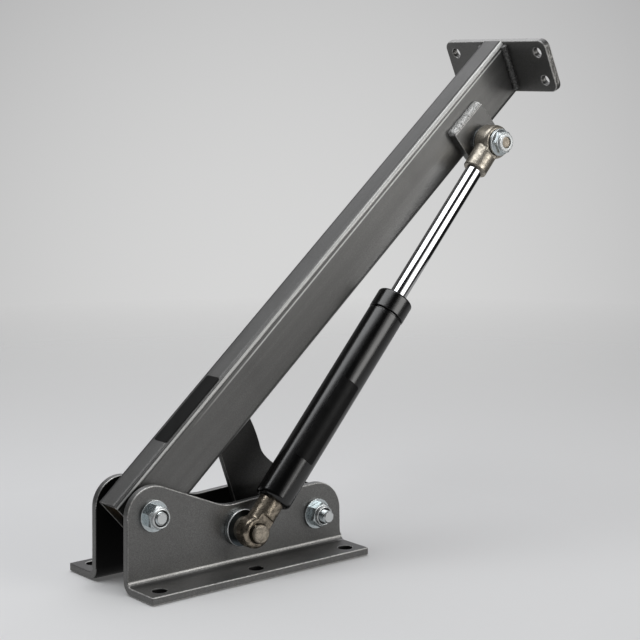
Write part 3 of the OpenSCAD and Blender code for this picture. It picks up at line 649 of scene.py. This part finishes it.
def darken_inside(bm):
    """Gives the side towards the gap and the holes' walls a near-black painted shade, and the feet's tops a
    darker painted shade.
    """
    for face in bm.faces:
        centre, normal = face.calc_center_median(), face.normal
        among_holes = FOOT_HOLES_Y[0] < abs(centre.y) < FOOT_HOLES_Y[1] and abs(centre.x) < FOOT_HOLES_X
        in_hole = abs(normal.z) < 0.1 and among_holes
        towards_gap = abs(normal.x) < 0.1 and normal.y * centre.y < 0 and abs(centre.y) < GAP_SIDE_Y
        if in_hole or towards_gap and abs(normal.y) > 0.05:
            face.material_index = 1
        elif normal.z > 0.99 and centre.z < PLATE_T + 0.1 * MM:
            face.material_index = 2


def touch_bracket(bm):
    mark_bend_highlight(bm)
    darken_inside(bm)


# The plates' left ends keep the plain coat on their edges, without the pale wear and painted highlight.
DULL_END_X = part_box("front_bracket")[0].x + 1.2 * BRACKET_EDGE_R
DULL_FROM_Z = TOP_OF_BEND - 2 * MM


def front_end_above_foot(centre):
    return centre.x < DULL_END_X and centre.z > DULL_FROM_Z


def rear_end(centre):
    return centre.x < DULL_END_X


softened("front_bracket", "front_bracket_plate", [COAT, GAP_SHADE_COAT, FEET_SHADE_COAT], BRACKET_EDGE_R,
         touch=touch_bracket, dull=front_end_above_foot)
softened("rear_bracket", "rear_bracket_plate", [COAT, GAP_SHADE_COAT, FEET_SHADE_COAT], BRACKET_EDGE_R,
         touch=touch_bracket, dull=rear_end)


# Arm

def saw_the_ends(bm):
    """Gives the two short edges of the end plate the sawn finish, and marks its long edges for a pale painted
    highlight.
    """
    layer = mark_layer(bm, "painted_highlight")
    largest = max(bm.faces, key=lambda face: face.calc_area()).normal.copy()
    for face in bm.faces:
        if abs(face.normal.y) > 0.99:
            face.material_index = 1
        elif abs(face.normal.dot(largest)) < 0.01 and abs(face.normal.y) < 0.01:
            mark(face, layer, 0.8)


softened("arm_tube", "lifting_tube", TUBE_COAT, 0.4 * MM)
softened("end_plate", "platform_plate", [COAT, SAWN], 0.9 * MM, touch=saw_the_ends)
# The stop plate takes the coat with painted shade.
softened("stop_plate", "stop_cam_plate", STOP_PLATE_SHADE_COAT, 0.8 * MM)
softened("spring_lug", "spring_lug_plate", COAT, 0.7 * MM)


# Welds

def weld_corners():
    """The corner that each weld bead fills: its two ends and the two legs beside it."""
    bm = merged_copy("weld_beads")
    corners = []
    for edge in bm.edges:
        if len(edge.link_faces) != 2 or any(len(face.verts) != 4 for face in edge.link_faces):
            continue
        first, second = edge.link_faces
        if abs(first.normal.dot(second.normal)) < 0.01:
            start, end = edge.verts
            legs = [other.other_vert(start).co - start.co for other in start.link_edges if other is not edge]
            corners.append((start.co.copy(), end.co.copy(), *[leg.copy() for leg in legs]))
    bm.free()
    return corners


# A weld's puddles: their pitch, how far they lie from the corner as a share of the legs, and their spread
PUDDLE_PITCH = 2.1 * MM
PUDDLE_OUT = 0.26
PUDDLE_SIZE = (0.92, 1.1)
PUDDLE_LEAN = (14, 24)
LUG_WELD_LEG = 5 * MM


def weld_bead(name, start, end, first_leg, second_leg, material, fullness):
    """A bead laid as a row of overlapping puddles, which fill the corner by fullness times its legs."""
    draw = random.Random(name)
    along = end - start
    count = max(3, round(along.length / PUDDLE_PITCH))
    place = axes_frame(start, along, second_leg)
    across_leg = first_leg.length
    up_leg = second_leg.length
    inverse = place.inverted().to_3x3()
    side = 1 if (inverse @ first_leg).y > 0 else -1
    bm = bmesh.new()
    for i in range(count):
        made = bmesh.ops.create_icosphere(bm, subdivisions=3, radius=1.0)
        size = fullness * draw.uniform(*PUDDLE_SIZE)
        puddle = Matrix.Diagonal((PUDDLE_PITCH * 1.05, across_leg * size, up_leg * size, 1))
        lean = Matrix.Rotation(math.radians(draw.uniform(*PUDDLE_LEAN)), 4, "Y")
        spot = Vector(((i + 0.5) * along.length / count, side * across_leg * PUDDLE_OUT, up_leg * PUDDLE_OUT))
        stray = Vector((draw.uniform(-0.1, 0.1), draw.uniform(-0.06, 0.06), draw.uniform(-0.06, 0.06)))
        spot += stray * PUDDLE_PITCH
        bmesh.ops.transform(bm, matrix=place @ Matrix.Translation(spot) @ lean @ puddle, verts=made["verts"])
    piece = finished(bm, name, material, "arm", smooth=180, weighted=False)
    one_skin(piece, 0.32 * MM, 2)
    return piece


def lay_welds():
    for number, (start, end, first_leg, second_leg) in enumerate(weld_corners()):
        on_lug = max(first_leg.length, second_leg.length) > LUG_WELD_LEG
        name = "lug_weld" if on_lug else f"weld_{number}"
        skin, fullness = (BARE_WELD, 0.9) if on_lug else (COATED_WELD, 0.78)
        weld_bead(name, start, end, first_leg, second_leg, skin, fullness)
    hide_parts("weld_beads")


lay_welds()


# Bolts, nuts and washers

# One pitch of thread: where its profile turns, as shares of the pitch, and the steps of a turn; then how far
# below its crest the painted highlight reaches
ROOT_TO_CREST = (0.16, 0.38, 0.62, 0.84)
STEPS_PER_TURN = 48
CREST_HIGHLIGHT_DEPTH = 0.3 * MM


def thread(bm, place, start, end):
    """A bolt's threaded end: a helix of one thread's profile, cut off and chamfered."""
    root = BOLT_R - THREAD_DEPTH
    turns = math.ceil((end - start) / BOLT_PITCH) + 2
    made = bmesh.new()
    shares = zip((0, *ROOT_TO_CREST, 1), (root, root, BOLT_R, BOLT_R, root, root))
    profile = [(start + (share - 1) * BOLT_PITCH, radius) for share, radius in shares]
    spun(made, profile, False, 2 * math.pi * turns, STEPS_PER_TURN * turns, BOLT_PITCH / STEPS_PER_TURN)
    bmesh.ops.remove_doubles(made, verts=made.verts, dist=0.004 * MM)
    trim(made, (start, 0, 0), (-1, 0, 0))
    trim(made, (end, 0, 0), (1, 0, 0))
    for vert in made.verts:
        radius = math.hypot(vert.co.y, vert.co.z)
        limit = BOLT_R - BOLT_CHAMFER + (end - vert.co.x)
        if radius > limit:
            vert.co.y *= limit / radius
            vert.co.z *= limit / radius
    bmesh.ops.recalc_face_normals(made, faces=made.faces)
    # Pale thread crests: burnish and painted highlight.
    layer = mark_layer(made, "wear_and_highlight")
    for face in made.faces:
        if all(math.hypot(vert.co.y, vert.co.z) > BOLT_R - CREST_HIGHLIGHT_DEPTH for vert in face.verts):
            mark(face, layer, 1.0)
    bmesh.ops.transform(made, matrix=place, verts=made.verts)
    add_to(bm, made)


def hex_bolt(node, nut):
    """A bolt with its head and shank from the frame, and its end beyond the nut's hexagon threaded."""
    place = across(node)
    end = reach(node, place)[1]
    thread_start = reach(nut, place)[0] + NUT_HEX_H
    bm = merged_copy(node)
    cut_off(bm, place, thread_start)
    round_edges(bm, sharp_edges(bm, 25), 0.3 * MM, 2)
    thread(bm, place, thread_start - 0.1 * MM, end)
    burnish_and_highlight(bm, place, end - BOLT_CHAMFER)
    finished(bm, node + "_zinc", ZINC, "base", [node])


def burnish_and_highlight(bm, place, start):
    """Marks what lies beyond a place on the X axis of a frame as pale, with burnish and a painted highlight.
    """
    layer = mark_layer(bm, "wear_and_highlight")
    inverse = place.inverted()
    for face in bm.faces:
        if (inverse @ face.calc_center_median()).x > start:
            mark(face, layer, 0.8)


def darken_front(bm):
    """Gives the flat front of a washer the darker zinc, a painted shade."""
    for face in bm.faces:
        if face.normal.y < -0.99:
            face.material_index = 1


def crowned_nut(node, name, hex_height, body, skin, opening=CROWN_OPENING_R, insert=True):
    """A nut with a rounded crown, and in a lock nut the nylon ring that shows inside it."""
    place = across(node)
    start, end = reach(node, place)
    crown = start + hex_height
    bm = merged_copy(node)
    cut_off(bm, place, crown)
    round_edges(bm, sharp_edges(bm, 20), 0.25 * MM, 2)
    lip_r = 0.45 * MM
    edge_r = 1.1 * MM
    insert_depth = 1.3 * MM
    bore = max(opening, BOLT_R + 0.05 * MM)
    profile = [(end - LIP_DEPTH, bore), (crown - 0.5 * MM, bore), (crown - 0.5 * MM, CROWN_R)]
    profile += arc(end - edge_r, CROWN_R - edge_r, edge_r, 90, 0, 6)
    profile += arc(end - lip_r, opening + lip_r, lip_r, 0, -90, 3)
    profile += [(end - LIP_DEPTH, opening)] if opening < bore else []
    turned(bm, place, profile, 72)
    # The whole crown pale: burnish and painted highlight.
    burnish_and_highlight(bm, place, crown)
    finished(bm, name, skin, body, [node])
    if insert:
        ring = bmesh.new()
        low, high = crown - 0.4 * MM, end - insert_depth
        turned(ring, place, [(low, BOLT_R), (low, opening), (high, opening), (high, BOLT_R)], 48)
        finished(ring, name + "_insert", NYLON, body)


hex_bolt("pivot_bolt", "pivot_nut")
hex_bolt("stop_bolt", "stop_nut")
crowned_nut("pivot_nut", "pivot_lock_nut", NUT_HEX_H, "base", ZINC)
crowned_nut("stop_nut", "stop_lock_nut", NUT_HEX_H, "base", ZINC)
crowned_nut("upper_nut", "upper_flange_nut", UPPER_HEX_H, "arm", SOFT_ZINC, UPPER_OPENING_R, insert=False)
softened("pivot_washers", "pivot_washer_pair", ZINC, 0.3 * MM, segments=2)
softened("stop_washers", "stop_washer_pair", ZINC, 0.3 * MM, segments=2)
# Its front takes the darker zinc as painted shade.
softened("lower_pin_washer", "lower_pin_wide_washer", [ZINC, SHADED_ZINC_FRONT], 0.8 * MM, segments=4,
         touch=darken_front)
softened("upper_washer", "upper_spacer_washer", ZINC, 0.3 * MM, segments=2)
softened("lower_pin_nut", "lower_pin_thin_nut", ZINC, 0.25 * MM, 20, 2)
softened("lower_pin", "lower_pin_forging", PIN_END, 0.35 * MM, segments=3)
# The snap ring is near-black as painted shade.
softened("lower_pin_clip", "lower_pin_snap_ring", CLIP_SHADE_STEEL, 0.15 * MM, segments=2)
softened("upper_stud", "upper_stud_forging", PIN_END, 0.4 * MM, segments=3)
softened("stop_sleeve", "stop_sleeve_tube", STEEL, 0.3 * MM, segments=2)
softened("pivot_spacers", "pivot_spacer_pair", NYLON, 0.3 * MM, segments=2)


# Gas spring

def forged_eye(node, name, material):
    """An eye with the soft blends and draft of a forging."""
    piece = finished(merged_copy(node), name, material, nodes[node]["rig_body"], [node],
                     smooth=180, weighted=False)
    one_skin(piece, 0.4 * MM, 4)


def make_barrel():
    """The tube of the gas spring, drawn in round its lower end."""
    start, end = reach("barrel", SPRING)
    radius = widest("barrel", SPRING)
    bore = radius - BARREL_WALL
    floor = start + BARREL_FLOOR
    profile = [(floor, SHANK_HOLE_R), (start, SHANK_HOLE_R)]
    profile += arc(start + BARREL_END_R, radius - BARREL_END_R, BARREL_END_R, 180, 90, 10)
    profile += arc(end - BARREL_LIP_R, radius - BARREL_LIP_R, BARREL_LIP_R, 90, 0, 4)
    profile += [(end, bore), (floor, bore)]
    bm = bmesh.new()
    turned(bm, SPRING, profile, 128)
    finished(bm, "barrel_tube", GLOSS, "strut", ["barrel"], smooth=40)


def make_head_cap():
    """The cap at the rod's end of the barrel, with a groove between the two."""
    start, end = reach("head_cap", SPRING)
    radius = widest("head_cap", SPRING)
    barrel_end = reach("barrel", SPRING)[1]
    barrel_r = widest("barrel", SPRING)
    spigot_r = barrel_r - BARREL_WALL - 0.02 * MM
    groove_r = barrel_r - CAP_GROOVE_DEPTH
    lip = barrel_end + CAP_GROOVE_W
    profile = [(start, ROD_HOLE_R), (start, spigot_r), (barrel_end, spigot_r), (barrel_end, groove_r),
               (lip, groove_r)]
    profile += arc(lip + CAP_LIP_R, radius - CAP_LIP_R, CAP_LIP_R, 180, 90, 4)
    profile += arc(end - CAP_EDGE_R, radius - CAP_EDGE_R, CAP_EDGE_R, 90, 0, 8)
    profile += arc(end - CAP_LIP_R, ROD_HOLE_R + CAP_LIP_R, CAP_LIP_R, 0, -90, 4)
    bm = bmesh.new()
    turned(bm, SPRING, profile, 128)
    finished(bm, "barrel_head_cap", GLOSS, "strut", ["head_cap"], smooth=40)


def make_rod():
    """The piston rod, with a screwed end for the piston and one for the eye."""
    low, high = reach("piston_rod", SPRING)
    start, end = reach("piston_rod", SPRING, SCREW_R + 1 * MM)
    radius = widest("piston_rod", SPRING)
    chamfer = 0.5 * MM
    profile = [(low, 0), (low, SCREW_R), (start, SCREW_R), (start, radius - chamfer),
               (start + chamfer, radius), (end, radius), (end, SCREW_R), (high, SCREW_R), (high, 0)]
    bm = bmesh.new()
    turned(bm, SPRING, profile, 128)
    finished(bm, "chromed_rod", CHROME, "rod", ["piston_rod"], smooth=40)


make_barrel()
make_head_cap()
make_rod()
forged_eye("lower_eye", "lower_eye_forging", FORGING)
forged_eye("upper_eye", "upper_eye_forging", NICKEL)


# Labels

def label(name, node, place, body, bend_r=0.0, outlined=False):
    """A blank label with round corners, laid on the XY plane of a frame or bent round its X axis."""
    inverse = place.inverted()
    points = [inverse @ vert.co for vert in nodes[node].data.vertices]
    start, end = min(p.x for p in points), max(p.x for p in points)
    if bend_r:
        sides = [bend_r * math.atan2(p.y, p.z) for p in points]
        height = bend_r
    else:
        sides = [p.y for p in points]
        height = min(p.z for p in points)
    left, right = min(sides), max(sides)
    bm = bmesh.new()
    spots = ((start, left, 0), (end, left, 0), (end, right, 0), (start, right, 0))
    bm.faces.new([bm.verts.new(spot) for spot in spots])
    bmesh.ops.bevel(bm, geom=bm.verts[:], offset=LABEL_CORNER_R, offset_type="OFFSET", segments=6,
                    profile=0.5, affect="VERTICES", material=-1)
    if outlined:
        for rim, index in ((LABEL_RIM, 0), (LABEL_LINE, 1)):
            middle = max(bm.faces, key=lambda face: face.calc_area())
            inset = bmesh.ops.inset_region(bm, faces=[middle], thickness=rim, depth=0, use_even_offset=True)
            for face in inset["faces"]:
                face.material_index = index
    if bend_r:
        strips = round((right - left) / LABEL_STRIP)
        for i in range(1, strips):
            bmesh.ops.bisect_plane(bm, geom=bm.verts[:] + bm.edges[:] + bm.faces[:],
                                   plane_co=(0, left + (right - left) * i / strips, 0), plane_no=(0, 1, 0),
                                   clear_outer=False, clear_inner=False)
        for vert in bm.verts:
            turn = vert.co.y / bend_r
            vert.co = Vector((vert.co.x, bend_r * math.sin(turn), bend_r * math.cos(turn)))
    else:
        bmesh.ops.translate(bm, verts=bm.verts, vec=(0, 0, height))
    bmesh.ops.solidify(bm, geom=bm.faces[:], thickness=-LABEL_T)
    bmesh.ops.recalc_face_normals(bm, faces=bm.faces)
    bmesh.ops.transform(bm, matrix=place, verts=bm.verts)
    finished(bm, name, [FILM, FILM_LINE], body, [node], smooth=25, weighted=False)


label("arm_blank_label", "arm_label", ARM, "arm")
label("barrel_blank_label", "barrel_label", SPRING, "strut", widest("barrel", SPRING), outlined=True)


# Nodes that keep their own shape

CARRIED = {
    STEEL: ["barrel_plug", "piston", "piston_nut"],
    BRONZE: ["pivot_bush", "rod_guide"],
    RUBBER: ["rod_seal", "piston_ring"],
}
for skin, names in CARRIED.items():
    for name in names:
        nodes[name].data.materials.clear()
        nodes[name].data.materials.append(skin)


# Camera, floor, light

def point_at(obj, place, target, upright=(0, 0, 1)):
    """Puts a light or a card at a place, facing the target along its -Z, with its X level."""
    back = (Vector(place) - Vector(target)).normalized()
    level = Vector(upright).cross(back).normalized()
    turn = Matrix((level, back.cross(level), back)).transposed().to_4x4()
    obj.matrix_world = Matrix.Translation(place) @ turn


def make_camera():
    data = bpy.data.cameras.new("camera")
    data.lens = CAMERA_LENS
    data.sensor_width = CAMERA_SENSOR
    data.clip_start = 0.05
    data.clip_end = 100
    camera = bpy.data.objects.new("camera", data)
    bpy.context.scene.collection.objects.link(camera)
    a, e = CAMERA_AZIMUTH, CAMERA_DOWN
    forward = Vector((-math.sin(a) * math.cos(e), math.cos(a) * math.cos(e), -math.sin(e)))
    level = Vector((math.cos(a), math.sin(a), 0))
    upright = level.cross(forward)
    right = level * math.cos(CAMERA_ROLL) + upright * math.sin(CAMERA_ROLL)
    up = upright * math.cos(CAMERA_ROLL) - level * math.sin(CAMERA_ROLL)
    turn = Matrix((right, up, -forward)).transposed().to_4x4()
    camera.matrix_world = Matrix.Translation(CAMERA_AT) @ turn
    bpy.context.scene.camera = camera


def softbox(name, place, target, width, height, radiance, colour, upright=(0, 0, 1)):
    """A rectangular light, as bright as a surface of that radiance."""
    data = bpy.data.lights.new(name, "AREA")
    data.shape = "RECTANGLE"
    data.size = width
    data.size_y = height
    data.energy = radiance * math.pi * width * height
    data.color = colour
    light = bpy.data.objects.new(name, data)
    bpy.context.scene.collection.objects.link(light)
    light.visible_camera = False
    point_at(light, place, target, upright)


BACKDROP = (0.668, 0.668, 0.666)
# Painted falloff of light: the backdrop darker away from its middle.
BACKDROP_RIM = (0.462, 0.462, 0.464)
BACKDROP_MIDDLE = (0.602, 0.784, -0.157)
STUDIO_BACK = (0.155, 0.155, 0.159)
STUDIO_GLOW = (1.65, 1.65, 1.7)
STUDIO_FRONT = (0.03, 0.03, 0.031)
TOWARDS_BACK = (0.55, 0.83, 0.0)
TOWARDS_GLOW = (0.45, 0.45, 0.77)


def direction_share(tree, direction, low, high):
    """How near a ray of the world comes to a direction: 0 at a cosine of low, 1 at high."""
    coords = tree.nodes.new("ShaderNodeTexCoord")
    dot = tree.nodes.new("ShaderNodeVectorMath")
    dot.operation = "DOT_PRODUCT"
    dot.inputs[1].default_value = direction
    tree.links.new(coords.outputs["Generated"], dot.inputs[0])
    return spread(tree, dot.outputs["Value"], low, high)


def make_world():
    """A pale backdrop for the camera, darker towards its rim as painted falloff of light, and for the metal a
    dim studio that is lighter behind and above.
    """
    world = bpy.data.worlds.new("studio")
    bpy.context.scene.world = world
    world.use_nodes = True
    tree = world.node_tree
    background = tree.nodes["Background"]
    seen = mixed(tree, direction_share(tree, BACKDROP_MIDDLE, 0.966, 1.0), BACKDROP_RIM, BACKDROP)
    behind = mixed(tree, direction_share(tree, TOWARDS_BACK, -0.2, 0.3), STUDIO_FRONT, STUDIO_BACK)
    lit = mixed(tree, direction_share(tree, TOWARDS_GLOW, 0.78, 1.0), behind, STUDIO_GLOW)
    path = tree.nodes.new("ShaderNodeLightPath")
    tree.links.new(mixed(tree, path.outputs["Is Camera Ray"], lit, seen), background.inputs["Color"])
    background.inputs["Strength"].default_value = 1.0


FLOOR_ALBEDO = (0.32, 0.32, 0.32)
FLOOR_SEEN = (0.66, 0.66, 0.66)
FLOOR_GLOW = 0.1
FLOOR_GLOW_IN_METAL = 0.36
FAR_FLOOR_IN_METAL = 0.35
FLOOR_R = 60
FLOOR_Z = -0.5 * MM
FLOOR_FADES = (0.3, 1.5)


def make_floor():
    """A pale floor that takes soft shadows, glows a little and fades into the backdrop.

    The camera sees it paler than it is for the light that it throws back on the object.
    """
    bm = bmesh.new()
    bmesh.ops.create_circle(bm, cap_ends=True, radius=FLOOR_R, segments=64)
    bmesh.ops.translate(bm, verts=bm.verts, vec=(0, 0, FLOOR_Z))
    mesh = bpy.data.meshes.new("studio_floor")
    bm.to_mesh(mesh)
    bm.free()
    floor = bpy.data.objects.new("studio_floor", mesh)
    bpy.context.scene.collection.objects.link(floor)
    material = bpy.data.materials.new("studio floor")
    material.use_nodes = True
    tree = material.node_tree
    shader = tree.nodes["Principled BSDF"]
    shader.inputs["Roughness"].default_value = 0.9
    shader.inputs["Specular IOR Level"].default_value = 0.0
    path = tree.nodes.new("ShaderNodeLightPath")
    seen, mirrored = path.outputs["Is Camera Ray"], path.outputs["Is Glossy Ray"]
    tree.links.new(mixed(tree, seen, FLOOR_ALBEDO, FLOOR_SEEN), shader.inputs["Base Color"])

    def glowing(strength):
        glow = tree.nodes.new("ShaderNodeEmission")
        glow.inputs["Color"].default_value = (*BACKDROP, 1)
        tree.links.new(strength, glow.inputs["Strength"])
        return glow.outputs["Emission"]

    def blended(first, second, share):
        blend = tree.nodes.new("ShaderNodeMixShader")
        tree.links.new(share, blend.inputs["Fac"])
        tree.links.new(first, blend.inputs[1])
        tree.links.new(second, blend.inputs[2])
        return blend.outputs["Shader"]

    shown = combined(tree, "ADD", combined(tree, "MULTIPLY", seen, FLOOR_GLOW),
                     combined(tree, "MULTIPLY", mirrored, FLOOR_GLOW_IN_METAL))
    near = tree.nodes.new("ShaderNodeAddShader")
    tree.links.new(shader.outputs["BSDF"], near.inputs[0])
    tree.links.new(glowing(shown), near.inputs[1])
    clear = tree.nodes.new("ShaderNodeBsdfTransparent")
    far_glow = glowing(combined(tree, "MULTIPLY", mirrored, FAR_FLOOR_IN_METAL))
    far = blended(far_glow, clear.outputs["BSDF"], seen)
    coords = tree.nodes.new("ShaderNodeTexCoord")
    length = tree.nodes.new("ShaderNodeVectorMath")
    length.operation = "LENGTH"
    tree.links.new(coords.outputs["Object"], length.inputs[0])
    fade = spread(tree, length.outputs["Value"], *FLOOR_FADES)
    surface = tree.nodes["Material Output"].inputs["Surface"]
    tree.links.new(blended(near.outputs["Shader"], far, fade), surface)
    mesh.materials.append(material)


CARD_AT = Vector((0.8, -0.24, 0.11))
CARD_FACES = Vector((0.2, -0.24, 0.11))
CARD_SIZE = (0.72, 0.22)


def make_black_card():
    """A black card beside the mechanism, outside the view, that draws the dark side of the chromed rod."""
    bm = bmesh.new()
    bmesh.ops.create_grid(bm, x_segments=1, y_segments=1, size=0.5)
    bmesh.ops.scale(bm, vec=(*CARD_SIZE, 1), verts=bm.verts)
    mesh = bpy.data.meshes.new("black_card")
    bm.to_mesh(mesh)
    bm.free()
    card = bpy.data.objects.new("black_card", mesh)
    bpy.context.scene.collection.objects.link(card)
    point_at(card, CARD_AT, CARD_FACES)
    card.visible_camera = False
    card.visible_diffuse = False
    card.visible_shadow = False
    mesh.materials.append(new_material("black card", (0.01, 0.01, 0.01), 0.9, 0.0)[0])


make_camera()
make_world()
make_floor()
make_black_card()
softbox("overhead_softbox", Vector((-0.4, 0.3, 1.42)), Vector((-0.4, 0.3, 0)), 0.78, 1.85, 3.2,
        (0.97, 0.985, 1.0), upright=(-0.49, 0.87, 0))
softbox("front_softbox", Vector((0.9, -1.5, 0.67)), Vector((0.9, 0, 0.67)), 1.1, 0.94, 2.6, (1.0, 0.99, 0.97))
softbox("front_softbox_skirt", Vector((0.85, -1.52, 0.72)), Vector((0.85, 0, 0.72)), 1.5, 1.16, 1.0,
        (1.0, 0.995, 0.98))
bpy.context.scene.view_settings.view_transform = "Standard"
